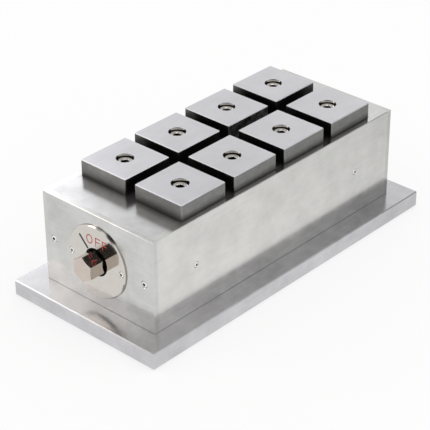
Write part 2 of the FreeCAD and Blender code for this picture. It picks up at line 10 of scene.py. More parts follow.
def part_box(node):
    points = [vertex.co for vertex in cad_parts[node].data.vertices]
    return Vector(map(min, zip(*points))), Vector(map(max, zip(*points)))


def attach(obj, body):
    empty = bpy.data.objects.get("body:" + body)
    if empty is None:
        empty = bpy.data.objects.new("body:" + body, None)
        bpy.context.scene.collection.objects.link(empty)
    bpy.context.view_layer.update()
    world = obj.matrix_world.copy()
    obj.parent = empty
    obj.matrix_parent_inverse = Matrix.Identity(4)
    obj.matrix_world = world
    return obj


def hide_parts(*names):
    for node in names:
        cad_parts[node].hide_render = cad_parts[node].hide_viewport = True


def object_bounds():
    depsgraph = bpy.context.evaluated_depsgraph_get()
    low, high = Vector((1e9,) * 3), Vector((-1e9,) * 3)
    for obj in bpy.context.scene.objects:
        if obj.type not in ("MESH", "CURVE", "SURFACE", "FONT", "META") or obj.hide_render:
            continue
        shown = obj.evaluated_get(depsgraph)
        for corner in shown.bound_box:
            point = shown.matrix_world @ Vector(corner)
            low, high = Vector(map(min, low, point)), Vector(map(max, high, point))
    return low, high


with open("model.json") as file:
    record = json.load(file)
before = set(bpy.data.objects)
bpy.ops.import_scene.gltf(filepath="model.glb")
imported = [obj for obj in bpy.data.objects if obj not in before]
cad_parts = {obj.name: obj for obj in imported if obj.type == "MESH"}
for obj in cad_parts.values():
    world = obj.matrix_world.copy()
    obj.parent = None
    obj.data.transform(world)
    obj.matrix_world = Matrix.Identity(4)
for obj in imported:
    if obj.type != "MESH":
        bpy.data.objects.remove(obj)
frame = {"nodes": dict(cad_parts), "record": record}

# The magnetic chuck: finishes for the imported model's parts, the painted marks of its dial,
# and a plain white studio.  Metres, in the model's own frame.

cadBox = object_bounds()
cadNodes = frame["nodes"]
slotOf = {part["node"]: part["material_slot"] for part in frame["record"]["subparts"]}


# A socket of a shader.  Sums written with it add the Math nodes that they need.
class Value:
    def __init__(self, shade, socket):
        self.shade = shade
        self.socket = socket

    def sums(self, operation, first, second=0.0):
        return self.shade.node("ShaderNodeMath", {"operation": operation}, {0: first, 1: second})

    def __add__(self, other):
        return self.sums("ADD", self, other)

    def __radd__(self, other):
        return self.sums("ADD", other, self)

    def __sub__(self, other):
        return self.sums("SUBTRACT", self, other)

    def __rsub__(self, other):
        return self.sums("SUBTRACT", other, self)

    def __mul__(self, other):
        return self.sums("MULTIPLY", self, other)

    def __rmul__(self, other):
        return self.sums("MULTIPLY", other, self)

    def __truediv__(self, other):
        return self.sums("DIVIDE", self, other)

    def __rtruediv__(self, other):
        return self.sums("DIVIDE", other, self)

    def __pow__(self, other):
        return self.sums("POWER", self, other)

    def __abs__(self):
        return self.sums("ABSOLUTE", self)

    def fraction(self):
        return self.sums("FRACT", self)

    # Part that an even noise has in a tone or a roughness: its distance from the middle times share.
    def swing(self, share):
        return (self - 0.5) * share

    # 0 below low, 1 above high, and a smooth rise between them.
    def rise(self, low, high):
        given = {"Value": self, "From Min": low, "From Max": high}
        return self.shade.node("ShaderNodeMapRange", {"interpolation_type": "SMOOTHSTEP"}, given)


# A material, or the world, under construction.
class Shade:
    edgeGain = 6.0

    def __init__(self, owner):
        self.owner = owner
        owner.use_nodes = True
        self.tree = owner.node_tree
        self.tree.nodes.clear()

    def node(self, kind, settings=None, given=None, out=0):
        made = self.tree.nodes.new(kind)
        for word, setting in (settings or {}).items():
            setattr(made, word, setting)
        for word, what in (given or {}).items():
            if isinstance(what, Value):
                self.tree.links.new(what.socket, made.inputs[word])
            else:
                made.inputs[word].default_value = what
        return Value(self, made.outputs[out] if len(made.outputs) else None)

    # Colour first where share is 0, and second where it is 1.
    def blend(self, share, first, second):
        given = {0: share, 6: asColour(first), 7: asColour(second)}
        return self.node("ShaderNodeMix", {"data_type": "RGBA"}, given, out=2)

    # Position on the object, stretched by one factor along each axis.
    def place(self, scale=(1, 1, 1), turn=(0, 0, 0), centre=(0, 0, 0)):
        spot = self.node("ShaderNodeTexCoord", out="Object")
        moved = [-number for number in centre]
        shifted = self.node("ShaderNodeMapping", {}, {"Vector": spot, "Location": moved})
        return self.node("ShaderNodeMapping", {}, {"Vector": shifted, "Rotation": turn, "Scale": scale})

    def noise(self, where, detail=3.0, roughness=0.55):
        return self.node("ShaderNodeTexNoise", {}, {
            "Vector": where, "Scale": 1.0, "Detail": detail, "Roughness": roughness})

    def parts(self, vector):
        split = self.node("ShaderNodeSeparateXYZ", {}, {"Vector": vector})
        outputs = split.socket.node.outputs
        return [Value(self, outputs[letter]) for letter in "XYZ"]

    def facing(self):
        return self.parts(self.node("ShaderNodeTexCoord", out="Normal"))

    # Share of an edge near the point: 0 on a flat, and 1 where faces meet within the given width.
    def edge(self, width):
        rounded = self.node("ShaderNodeBevel", {"samples": 4}, {"Radius": width})
        flat = self.node("ShaderNodeNewGeometry", out="True Normal")
        return ((1.0 - self.along(rounded, flat)) * self.edgeGain).rise(0.0, 1.0)

    # Length of one direction along another.
    def along(self, first, second):
        given = {0: first, 1: second}
        return self.node("ShaderNodeVectorMath", {"operation": "DOT_PRODUCT"}, given, out="Value")

    # Share of painted shade in corners and seams, darker where things close in: 1 where the open share
    # of what is within reach is below shut, and 0 where it is above clear.
    def paintedShade(self, reach, shut, clear):
        given = {"Distance": reach}
        openness = self.node("ShaderNodeAmbientOcclusion", {"samples": 8}, given, out="AO")
        return 1.0 - openness.rise(shut, clear)

    def finish(self, constants, changing, height=None, depth=0.0001, strength=0.3):
        shader = self.node("ShaderNodeBsdfPrincipled", {}, {**constants, **changing})
        surface = shader.socket.node
        if height is not None:
            given = {"Height": height, "Distance": depth, "Strength": strength}
            bump = self.node("ShaderNodeBump", {}, given)
            self.tree.links.new(bump.socket, surface.inputs["Normal"])
        self.node("ShaderNodeOutputMaterial", {}, {"Surface": shader})
        return self.owner


def asColour(what):
    return what if isinstance(what, Value) else (*what, 1.0)


def newShade(name):
    return Shade(bpy.data.materials.new(name))


def dress(material, *names):
    for name in names:
        slots = cadNodes[name].data.materials
        if len(slots) == 0:
            slots.append(material)
        for number in range(len(slots)):
            slots[number] = material


def nodesIn(slot):
    return [name for name in cadNodes if slotOf[name] == slot]


# How much of a face's direction lies along an axis where the face begins to count as looking
# that way, and where it counts in full.
looking = {"up": (0.35, 0.6), "end": (0.6, 0.8), "near": (0.5, 0.7)}


# Steel as it leaves a surface grinder: fine straight lines along the length, and across it on the
# ends, broad clouds where the wheel cut a little more or less, faint handling marks, bright edges
# that are partly wear and partly a painted highlight, and a painted shade as a dark line in the seams.
def groundSteel(name, look):
    shade = newShade(name)
    fine, long = 1.0 / look["grainWidth"], 1.0 / look["grainLength"]
    lengthLines = shade.noise(shade.place((long, fine, fine)), detail=2.0)
    endLines = shade.noise(shade.place((fine, long, fine)), detail=2.0)
    onEnds = abs(shade.facing()[0]).rise(*looking["end"])
    grain = lengthLines + (endLines - lengthLines) * onEnds
    clouds = shade.noise(shade.place((1.0 / look["cloudSize"],) * 3), detail=3.0)
    smears = shade.noise(
        shade.place((1.0 / look["smearSize"],) * 3, turn=look["smearTurn"]), detail=4.0, roughness=0.65)
    scratchFine, scratchLong = 1.0 / look["scratchWidth"], 1.0 / look["scratchLength"]
    scratches = shade.noise(
        shade.place((scratchFine, scratchLong, scratchFine), turn=look["scratchTurn"]), detail=1.0)
    scratched = scratches.rise(look["scratchFrom"], look["scratchFull"]) * look["scratches"]
    # Painted shade: darker where little of what lies within reach is open, as in seams and corners.
    paintedShade = shade.paintedShade(look["shadeReach"], look["shadeShut"], look["shadeClear"])
    # Lighter edges: partly wear, and partly a painted highlight.
    edgeWearAndHighlight = shade.edge(look["wearAndHighlightWidth"]) * look["wearAndHighlight"] * (1.0 - paintedShade)
    tone = (grain.swing(look["grainShare"]) + clouds.swing(look["cloudShare"])
            + smears.swing(look["smearShare"]) + 0.5)
    plain = shade.blend(tone.rise(0.0, 1.0), look["dark"], look["light"])
    bright = shade.blend(scratched, plain, look["bright"])
    edged = shade.blend(edgeWearAndHighlight, bright, look["bright"])
    colour = shade.blend(paintedShade * look["paintedShade"], edged, look["shadeColour"])
    rough = grain.swing(look["roughGrain"]) + smears.swing(look["roughSmears"]) + look["roughness"]
    return shade.finish(
        {"Metallic": 1.0}, {"Base Color": colour, "Roughness": rough},
        height=grain, depth=look["depth"], strength=look["relief"])


# Fixed values that most of the ground steel shares.
groundLook = {
    "grainWidth": 0.0006, "grainLength": 0.03, "cloudSize": 0.03,
    "smearSize": 0.009, "smearTurn": (0.3, 0.5, 0.8),
    "scratchWidth": 0.0007, "scratchLength": 0.05, "scratchTurn": (0.4, 0.2, 0.7),
    "scratchFrom": 0.69, "scratchFull": 0.76, "scratches": 0.3,
    "grainShare": 0.5, "cloudShare": 0.9, "smearShare": 0.45,
    "dark": (0.52, 0.52, 0.52), "light": (0.68, 0.68, 0.68), "bright": (0.85, 0.85, 0.86),
    # The painted shade in the seams: its colour, its share, and the reach, shut and clear of its mask.
    "shadeColour": (0.10, 0.098, 0.095), "paintedShade": 0.5,
    "shadeReach": 0.0014, "shadeShut": 0.4, "shadeClear": 0.85,
    # Edges lighter by this share, partly wear and partly a painted highlight.
    "wearAndHighlight": 0.5, "wearAndHighlightWidth": 0.0005,
    "roughness": 0.2, "roughGrain": 0.10, "roughSmears": 0.12,
    "depth": 0.00002, "relief": 0.3,
}

# The base plate, with its clamping ledges.
plateLook = {
    **groundLook, "dark": (0.47, 0.465, 0.48), "light": (0.63, 0.625, 0.64), "roughness": 0.22,
}
dress(groundSteel("groundBasePlate", plateLook), *nodesIn("ground_plate"))
print("base plate finished")

# The covers round the block.  Those of the ends are a little duller, and the top one has a
# painted shade, darker round the feet of the poles.
coverLook = {
    **groundLook, "dark": (0.56, 0.555, 0.54), "light": (0.73, 0.725, 0.705), "roughness": 0.18,
}
endCoverLook = {
    **coverLook, "dark": (0.50, 0.50, 0.485), "light": (0.66, 0.66, 0.645), "cloudShare": 1.3,
}
topCoverLook = {
    **coverLook, "dark": (0.54, 0.54, 0.545), "light": (0.74, 0.74, 0.75), "cloudSize": 0.02,
    # A darker painted shade with a longer reach, round the feet of the poles.
    "shadeColour": (0.04, 0.038, 0.036), "paintedShade": 0.8, "shadeReach": 0.012, "shadeShut": 0.3, "shadeClear": 0.85,
    "wearAndHighlight": 0.2, "roughness": 0.22,
}
dress(groundSteel("groundCovers", coverLook), *nodesIn("cover_steel"))
dress(groundSteel("groundEndCovers", endCoverLook), "end_cover_drive", "end_cover_rear")
dress(groundSteel("groundTopCover", topCoverLook), "top_cover")
print("covers finished")


# A pole piece: its ground working face is bright, and its milled sides are darker, with a painted
# shade in the gaps between the poles and at their feet.  The wall of each bore is lighter and smoother
# and has no painted shade: a point is in a bore when its distance from the bore's centre, the root
# of the sum of squares, is under the bore's radius.
def poleSteel(name, look):
    shade = newShade(name)
    fine, long = 1.0 / look["grainWidth"], 1.0 / look["grainLength"]
    lines = shade.noise(shade.place((long, fine, fine)), detail=2.0)
    broad = 1.0 / look["cutterWidth"]
    cutter = shade.noise(shade.place((broad, broad, fine)), detail=2.0)
    clouds = shade.noise(shade.place((1.0 / look["cloudSize"],) * 3), detail=3.0)
    smears = shade.noise(
        shade.place((1.0 / look["smearSize"],) * 3, turn=look["smearTurn"]), detail=4.0, roughness=0.65)
    facing = shade.facing()
    onTop = facing[2].rise(*looking["up"])
    fresh = (0.0 - facing[1]).rise(*looking["near"]) * look["fresh"]
    spot = shade.parts(shade.place(centre=look["bore"]))
    steps = [(number / look["pitch"] + 0.5).fraction() - 0.5 for number in spot[:2]]
    fromBore = sum(step ** 2.0 for step in steps) ** 0.5 * look["pitch"]
    inBore = 1.0 - fromBore.rise(look["boreRadius"], look["boreEdge"])
    # Painted shade on the milled sides, darker in the gaps between the poles and at their feet; none on
    # the top or in the bores, and less on a fresh side.
    occludedShare = shade.paintedShade(look["shadeReach"], look["shadeShut"], look["shadeClear"])
    paintedShade = occludedShare * (1.0 - onTop) * (1.0 - inBore) * (1.0 - fresh * look["freshShadeCut"])
    # Lighter edges: partly wear, and partly a painted highlight.
    edgeWearAndHighlight = shade.edge(look["wearAndHighlightWidth"]) * look["wearAndHighlight"] * (1.0 - paintedShade)
    topTone = lines.swing(look["grainShare"]) + clouds.swing(look["cloudShare"]) + 0.5
    sideTone = cutter.swing(look["cutterShare"]) + smears.swing(look["sideSmears"]) + 0.5
    top = shade.blend(topTone.rise(0.0, 1.0), look["dark"], look["light"])
    milled = shade.blend(sideTone.rise(0.0, 1.0), look["sideDark"], look["sideLight"])
    cleaned = fresh * smears.rise(look["freshFrom"], look["freshFull"])
    side = shade.blend(cleaned, milled, look["freshColour"])
    upright = shade.blend(inBore, side, look["boreColour"])
    edged = shade.blend(edgeWearAndHighlight, shade.blend(onTop, upright, top), look["bright"])
    colour = shade.blend(paintedShade * look["paintedShade"], edged, look["shadeColour"])
    topRough = lines.swing(look["roughLines"]) + smears.swing(look["roughSmears"]) + look["roughness"]
    sheen = 1.0 - inBore * look["boreSheen"]
    sideRough = cutter.swing(look["roughCutter"]) + look["sideRoughness"] * sheen
    rough = sideRough + (topRough - sideRough) * onTop
    height = cutter + (lines - cutter) * onTop
    return shade.finish(
        {"Metallic": 1.0}, {"Base Color": colour, "Roughness": rough},
        height=height, depth=look["depth"], strength=look["relief"])


# The pole extensions and the shoes below them.  One extension has a freshly cut, brighter side.
firstPole, secondPole = (sum(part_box("pole_extension_%d" % number), Vector()) / 2 for number in (1, 2))
poleLook = {
    "bore": (firstPole.x, firstPole.y, 0.0), "pitch": secondPole.x - firstPole.x,
    "boreRadius": 0.0078, "boreEdge": 0.00819, "boreColour": (0.62, 0.61, 0.60), "boreSheen": 0.6,
    "grainWidth": 0.0006, "grainLength": 0.03, "cutterWidth": 0.012, "cloudSize": 0.025,
    "smearSize": 0.006, "smearTurn": (0.3, 0.5, 0.8),
    "grainShare": 0.5, "cloudShare": 0.6, "cutterShare": 0.8, "sideSmears": 0.6,
    "dark": (0.57, 0.57, 0.59), "light": (0.73, 0.73, 0.76), "bright": (0.85, 0.85, 0.87),
    "sideDark": (0.15, 0.15, 0.145), "sideLight": (0.28, 0.28, 0.27),
    # The painted shade of the sides: its colour, its share, and the reach, shut and clear of its mask.
    "shadeColour": (0.012, 0.011, 0.010), "paintedShade": 0.95,
    "shadeReach": 0.02, "shadeShut": 0.45, "shadeClear": 0.85,
    "wearAndHighlight": 0.6, "wearAndHighlightWidth": 0.0005,
    "fresh": 0.0, "freshColour": (0.80, 0.80, 0.81), "freshShadeCut": 0.6,
    "freshFrom": 0.35, "freshFull": 0.7,
    "roughness": 0.32, "roughLines": 0.1, "roughSmears": 0.08,
    "sideRoughness": 0.34, "roughCutter": 0.15, "depth": 0.00003, "relief": 0.4,
}
freshLook = {**poleLook, "fresh": 1.0}
dress(poleSteel("polePieces", poleLook), *nodesIn("pole_steel"))
dress(poleSteel("polePieceFreshCut", freshLook), "pole_extension_7")
print("pole pieces finished")


# Metal turned or polished about an axis along X: fine rings, faint smears, lighter edges that are
# partly wear and partly a painted highlight, and a painted shade in crevices.
def turnedMetal(name, look):
    shade = newShade(name)
    x, y, z = shade.parts(shade.place(centre=look["centre"]))
    radius = (y * y + z * z) ** 0.5
    spread = {"X": x * look["pitch"], "Y": radius * look["pitch"]}
    turning = shade.node("ShaderNodeCombineXYZ", {}, spread)
    rings = shade.noise(turning, detail=2.0)
    smears = shade.noise(shade.place((1.0 / look["smearSize"],) * 3), detail=4.0, roughness=0.65)
    # Painted shade in crevices, darker where little of what lies within reach is open.
    paintedShade = shade.paintedShade(look["shadeReach"], look["shadeShut"], look["shadeClear"])
    # Lighter edges: partly wear, and partly a painted highlight.
    edgeWearAndHighlight = shade.edge(look["wearAndHighlightWidth"]) * look["wearAndHighlight"] * (1.0 - paintedShade)
    tone = rings.swing(look["ringShare"]) + smears.swing(look["smearShare"]) + 0.5
    plain = shade.blend(tone.rise(0.0, 1.0), look["dark"], look["light"])
    edged = shade.blend(edgeWearAndHighlight, plain, look["bright"])
    colour = shade.blend(paintedShade * look["paintedShade"], edged, look["shadeColour"])
    rough = rings.swing(look["roughRings"]) + smears.swing(look["roughSmears"]) + look["roughness"]
    return shade.finish(
        {"Metallic": 1.0}, {"Base Color": colour, "Roughness": rough},
        height=rings, depth=look["depth"], strength=look["relief"])


rotorCentre = sum(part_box("rotor_shaft"), Vector()) / 2
turnedLook = {
    "centre": (0.0, rotorCentre.y, rotorCentre.z), "pitch": 1600.0, "smearSize": 0.006,
    "ringShare": 0.5, "smearShare": 0.6, "dark": (0.50, 0.49, 0.47), "light": (0.66, 0.65, 0.63),
    "bright": (0.82, 0.81, 0.79), "wearAndHighlight": 0.6, "wearAndHighlightWidth": 0.0004,
    # The painted shade in crevices: its colour, its share, and the reach, shut and clear of its mask.
    "shadeColour": (0.03, 0.028, 0.025), "paintedShade": 0.8,
    "shadeReach": 0.0015, "shadeShut": 0.3, "shadeClear": 0.75,
    "roughness": 0.2, "roughRings": 0.08, "roughSmears": 0.1, "depth": 0.00001, "relief": 0.2,
}

# The dial plate is lapped to a mirror with a warm tone, and the shaft's hexagon is polished.
dialLook = {
    **turnedLook, "dark": (0.56, 0.53, 0.49), "light": (0.66, 0.63, 0.59), "roughness": 0.12,
    "roughRings": 0.02, "roughSmears": 0.05, "relief": 0.06, "ringShare": 0.2, "smearShare": 0.5,
}
shaftLook = {
    **turnedLook, "dark": (0.50, 0.44, 0.39), "light": (0.64, 0.57, 0.51), "roughness": 0.12,
    "roughRings": 0.05, "relief": 0.12,
}
dress(turnedMetal("polishedDial", dialLook), *nodesIn("polished_plate"))
dress(turnedMetal("polishedShaft", shaftLook), *nodesIn("polished_shaft"))
print("dial and shaft finished")


# Screw steel: bright heads, darkened down in the recess by a painted shade where little light gets
# in, and lighter edges that are partly wear and partly a painted highlight.
def screwSteel(name, look):
    shade = newShade(name)
    smears = shade.noise(shade.place((1.0 / look["smearSize"],) * 3), detail=3.0)
    fine = shade.noise(shade.place((1.0 / look["fineSize"],) * 3), detail=2.0)
    # Painted shade down in the key's recess, where little of what lies within reach is open.
    inside = shade.paintedShade(look["reach"], look["shut"], look["clear"])
    # Lighter edges: partly wear, and partly a painted highlight.
    edgeWearAndHighlight = shade.edge(look["wearAndHighlightWidth"]) * look["wearAndHighlight"]
    tone = smears.swing(look["smearShare"]) + fine.swing(look["fineShare"]) + 0.5
    plain = shade.blend(tone.rise(0.0, 1.0), look["dark"], look["light"])
    edged = shade.blend(edgeWearAndHighlight, plain, look["bright"])
    colour = shade.blend(inside, edged, look["recess"])
    rough = fine.swing(look["roughFine"]) + look["roughness"]
    return shade.finish(
        {"Metallic": 1.0}, {"Base Color": colour, "Roughness": rough},
        height=fine, depth=look["depth"], strength=look["relief"])


roundSides = 48


# A screw as one closed grid: its outline, rows of radius and height, is turned about its axis.
# In the rows of the key's recess the radius at an angle is the hexagon's, half the flats over the
# cosine of the angle from the nearest flat's middle.
def screwGrid(rows):
    turn = np.linspace(0, 2 * math.pi, roundSides, endpoint=False)
    fromFlat = (turn % (math.pi / 3)) - math.pi / 6
    shape = {"round": np.ones_like(turn), "hexagon": 1.0 / np.cos(fromFlat)}
    radii = np.stack([radius * shape[kind] for kind, radius, height in rows])
    heights = np.array([height for kind, radius, height in rows])
    across, aside = radii * np.cos(turn), radii * np.sin(turn)
    return np.dstack([across, aside, np.broadcast_to(heights[:, None], radii.shape)]), False, True


# Rows of the bottom of the key's recess: the drill's point, and the corner where its walls begin.
def recessRows(look, key):
    depth = look["recessDepth"]
    return [("round", 0.0, -depth - key * look["drillPoint"]), ("hexagon", key * look["taper"], -depth)]


# Rows of a cap screw, from the bottom of its recess out over the head and down to its tip.
# Heights run from the top of the head.
def capScrewRows(look):
    key, head, shank = look["flats"] / 2, look["head"], look["shank"]
    return [
        *recessRows(look, key), ("hexagon", key, -look["bevel"]),
        ("round", key * look["lip"], 0.0), ("round", head - look["bevel"], 0.0),
        ("round", head, -look["bevel"]), ("round", head, -look["headHeight"]),
        ("round", shank, -look["headHeight"]), ("round", shank, -look["length"] + look["bevel"]),
        ("round", shank - look["bevel"], -look["length"]), ("round", 0.0, -look["length"]),
    ]


# Rows of a countersunk screw with a low crown, from the recess over the rim and down its cone.
# Heights run from the face that it is let into.  The crown falls as the square of the share of
# the way from the recess to the rim.
def flatScrewRows(look):
    key, head, shank = look["flats"] / 2, look["head"], look["shank"]
    lip, crown, sink = key * look["lip"], look["crown"], look["sink"]
    arch = [("round", lip + (head - lip) * share, crown * (1 - share * share) - sink)
            for share in np.linspace(0.25, 1.0, 5)]
    return [
        *recessRows(look, key), ("hexagon", key, crown * look["mouth"] - sink),
        ("round", lip, crown - sink), *arch, ("round", shank, -sink - (head - shank)),
        ("round", shank, -look["length"]), ("round", 0.0, -look["length"]),
    ]


# Puts a shape at each place: a point, the way its top looks, and its turn about that.
def placed(grid, places):
    shape, rowsClosed, columnsClosed = grid
    grids = []
    for point, ahead, angle in places:
        turned = Vector(ahead).to_track_quat("Z", "Y").to_matrix() @ Matrix.Rotation(angle, 3, "Z")
        grids.append((shape @ np.array(turned).T + np.array(point), rowsClosed, columnsClosed))
    return grids


# One mesh from several grids, each closed along its rows, its columns, or both.  Points that meet
# are joined, the faces are turned outwards, and round parts are smooth between sharp edges.
def meshOf(name, grids, material, sharpAngle=0.6):
    corners, faces, first = [], [], 0
    for grid, rowsClosed, columnsClosed in grids:
        rows, columns = grid.shape[:2]
        row = np.arange(rows if rowsClosed else rows - 1)[:, None]
        column = np.arange(columns if columnsClosed else columns - 1)[None, :]
        nextRow, nextColumn = (row + 1) % rows, (column + 1) % columns
        quad = [row * columns + column, row * columns + nextColumn,
                nextRow * columns + nextColumn, nextRow * columns + column]
        faces.append(np.stack([side.ravel() for side in quad], 1) + first)
        corners.append(grid.reshape(-1, 3))
        first += rows * columns
    mesh = bpy.data.meshes.new(name)
    mesh.from_pydata(np.concatenate(corners).tolist(), [], np.concatenate(faces).tolist())
    merged = bmesh.new()
    merged.from_mesh(mesh)
    bmesh.ops.remove_doubles(merged, verts=merged.verts, dist=1e-7)
    bmesh.ops.dissolve_degenerate(merged, edges=merged.edges, dist=1e-8)
    bmesh.ops.recalc_face_normals(merged, faces=merged.faces)
    merged.to_mesh(mesh)
    merged.free()
    mesh.polygons.foreach_set("use_smooth", np.ones(len(mesh.polygons), bool))
    mesh.set_sharp_from_angle(angle=sharpAngle)
    mesh.materials.append(material)
    piece = bpy.data.objects.new(name, mesh)
    bpy.context.scene.collection.objects.link(piece)
    return piece


# The screws of one node, which they stand in for.
def makeScrews(name, rows, places, material):
    piece = meshOf(name + "_heads", placed(screwGrid(rows), places), material)
    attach(piece, "block")
    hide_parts(name)


capScrewLook = {
    "smearSize": 0.004, "fineSize": 0.0004,
    "dark": (0.42, 0.40, 0.37), "light": (0.66, 0.63, 0.60), "bright": (0.86, 0.84, 0.82),
    # recess is the colour of the painted shade down in the key's recess; reach, shut and clear shape
    # its mask.
    "recess": (0.035, 0.024, 0.016), "reach": 0.006, "shut": 0.4, "clear": 0.7,
    "smearShare": 0.8, "fineShare": 0.3, "wearAndHighlight": 0.7, "wearAndHighlightWidth": 0.0004,
    "roughness": 0.2, "roughFine": 0.15, "depth": 0.00001, "relief": 0.2,
}
smallScrewLook = {
    **capScrewLook, "smearSize": 0.002, "wearAndHighlightWidth": 0.0002, "roughness": 0.12,
    "dark": (0.72, 0.71, 0.70), "light": (0.92, 0.91, 0.90), "bright": (0.96, 0.96, 0.95),
    "reach": 0.002, "shut": 0.5, "clear": 0.8,
}
capScrewMetal = screwSteel("capScrews", capScrewLook)
smallScrewMetal = screwSteel("smallScrews", smallScrewLook)
dress(capScrewMetal, *nodesIn("cap_screw_steel"))
dress(smallScrewMetal, *nodesIn("small_screw_steel"))

# The cap screws of the poles, each deep in its bore, with their keys at different turns.
poleScrew = {
    "head": 0.0065, "headHeight": 0.0064, "flats": 0.006, "recessDepth": 0.0042, "bevel": 0.0005,
    "drillPoint": 0.3, "taper": 0.98, "lip": 1.22,
    "shank": 0.004, "length": 0.0225, "below": 0.0026, "turnStep": 1.1,
}


def makePoleScrews(look):
    places = []
    poles = sorted(name for name in cadNodes if name.startswith("pole_extension_"))
    for number, name in enumerate(poles):
        low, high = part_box(name)
        seat = ((low.x + high.x) / 2, (low.y + high.y) / 2, high.z - look["below"])
        places.append((seat, (0, 0, 1), number * look["turnStep"]))
    makeScrews("pole_screws", capScrewRows(look), places, capScrewMetal)


makePoleScrews(poleScrew)

# The countersunk screws of the side covers, the end covers and the dial.
sideScrew = {
    "head": 0.00235, "flats": 0.002, "recessDepth": 0.0013, "shank": 0.0014, "crown": 0.0005,
    "drillPoint": 0.3, "taper": 0.98, "lip": 1.2, "mouth": 0.8,
    "sink": 0.0003, "length": 0.012, "outside": 0.00275, "firstTurn": 0.3,
}
endScrew = {**sideScrew, "head": 0.00275, "flats": 0.0025, "shank": 0.0019, "outside": 0.0032}
dialScrew = {**sideScrew, "length": 0.0068}


# Places of a cover's screws: two on each face of the block, level with the middle of the box.
def coverScrewPlaces(node, face, along, look):
    low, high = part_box(node)
    middle = (low + high) / 2
    places = []
    for outward, level in ((-1, low[face]), (1, high[face])):
        for side in (low[along] + look["outside"], high[along] - look["outside"]):
            point, ahead = list(middle), [0, 0, 0]
            point[face], point[along], ahead[face] = level, side, outward
            places.append((point, ahead, look["firstTurn"] + len(places)))
    return places


# Each node, the axis that its faces look along, the axis its screws are spread along, its screw
# and how many of the four places it has.
for node, face, along, look, count in (
        ("side_cover_screws", 1, 0, sideScrew, 4), ("end_cover_screws", 0, 1, endScrew, 4),
        ("dial_screws", 0, 1, dialScrew, 2)):
    places = coverScrewPlaces(node, face, along, look)[:count]
    makeScrews(node, flatScrewRows(look), places, smallScrewMetal)
print("screws finished")

# Parts inside the block.
ironLook = {
    **turnedLook, "dark": (0.34, 0.33, 0.32), "light": (0.46, 0.45, 0.44), "roughness": 0.34,
}
magnetLook = {
    **turnedLook, "dark": (0.60, 0.58, 0.54), "light": (0.74, 0.72, 0.67), "roughness": 0.24,
    "pitch": 300.0,
}
brassLook = {
    **turnedLook, "dark": (0.58, 0.42, 0.18), "light": (0.76, 0.58, 0.28), "roughness": 0.26,
    "bright": (0.90, 0.74, 0.42),
}
bronzeLook = {
    **turnedLook, "dark": (0.44, 0.27, 0.13), "light": (0.62, 0.40, 0.21), "roughness": 0.32,
    "bright": (0.80, 0.58, 0.34),
}
coreLook = {
    **groundLook, "dark": (0.66, 0.67, 0.68), "light": (0.80, 0.81, 0.82), "bright": (0.92, 0.92, 0.93),
    "roughness": 0.32, "grainWidth": 0.0008,
}
dress(turnedMetal("softIron", ironLook), *nodesIn("soft_iron"))
dress(turnedMetal("nickelPlating", magnetLook), *nodesIn("magnet_nickel"))
dress(turnedMetal("turnedBrass", brassLook), *nodesIn("brass"))
dress(turnedMetal("bearingBronze", bronzeLook), *nodesIn("bronze"))
dress(groundSteel("milledAluminium", coreLook), *nodesIn("aluminium_core"))
print("inner metal parts finished")


# Moulded plastic and rubber: a fine matt grain, and paler edges that are partly rubbed wear and
# partly a painted highlight.
def moulded(name, look):
    shade = newShade(name)
    grain = shade.noise(shade.place((1.0 / look["grainSize"],) * 3), detail=3.0)
    patches = shade.noise(shade.place((1.0 / look["patchSize"],) * 3), detail=3.0)
    # Paler edges: partly rubbed wear, and partly a painted highlight.
    edgeWearAndHighlight = shade.edge(look["wearAndHighlightWidth"]) * look["wearAndHighlight"]
    tone = grain.swing(look["grainShare"]) + patches.swing(look["patchShare"]) + 0.5
    plain = shade.blend(tone.rise(0.0, 1.0), look["dark"], look["light"])
    colour = shade.blend(edgeWearAndHighlight, plain, look["rubbedAndHighlit"])
    rough = patches.swing(look["roughPatches"]) + look["roughness"]
    return shade.finish(
        {"Metallic": 0.0}, {"Base Color": colour, "Roughness": rough},
        height=grain, depth=look["depth"], strength=look["relief"])


washerLook = {
    "grainSize": 0.0004, "patchSize": 0.006, "grainShare": 0.5, "patchShare": 0.7,
    "dark": (0.70, 0.68, 0.62), "light": (0.82, 0.80, 0.74), "rubbedAndHighlit": (0.88, 0.87, 0.82),
    "wearAndHighlight": 0.5, "wearAndHighlightWidth": 0.0004,
    "roughness": 0.45, "roughPatches": 0.2, "depth": 0.00003, "relief": 0.4,
}
rubberLook = {
    **washerLook, "grainSize": 0.0003, "roughness": 0.62,
    "dark": (0.012, 0.012, 0.013), "light": (0.03, 0.03, 0.032), "rubbedAndHighlit": (0.07, 0.07, 0.075),
}
dress(moulded("washerPlastic", washerLook), *nodesIn("washer_plastic"))
dress(moulded("sealRubber", rubberLook), *nodesIn("seal_rubber"))
print("washers and seal finished")


# Enamel in the dial's marks: a little uneven, with a soft gloss.
def enamel(name, look):
    shade = newShade(name)
    flecks = shade.noise(shade.place((1.0 / look["fleckSize"],) * 3), detail=3.0)
    colour = shade.blend(flecks.rise(0.25, 0.75), look["dark"], look["light"])
    rough = flecks.swing(look["roughFlecks"]) + look["roughness"]
    return shade.finish(
        {"Metallic": 0.0}, {"Base Color": colour, "Roughness": rough},
        height=flecks, depth=look["depth"], strength=look["relief"])


redLook = {
    "fleckSize": 0.0008, "dark": (0.36, 0.03, 0.03), "light": (0.55, 0.07, 0.06),
    "roughness": 0.35, "roughFlecks": 0.2, "depth": 0.00001, "relief": 0.3,
}
blackLook = {
    **redLook, "dark": (0.010, 0.010, 0.010), "light": (0.03, 0.03, 0.03), "roughness": 0.3,
}


# Outline across a painted stroke, as shares of its half width and of its height: a low ridge that
# is closed underneath, a little inside the plate.
ridge = {"across": (-1.0, -1.0, -0.8, 0.8, 1.0, 1.0), "rise": (-0.2, 0.6, 1.0, 1.0, 0.6, -0.2)}
endPoints = 7


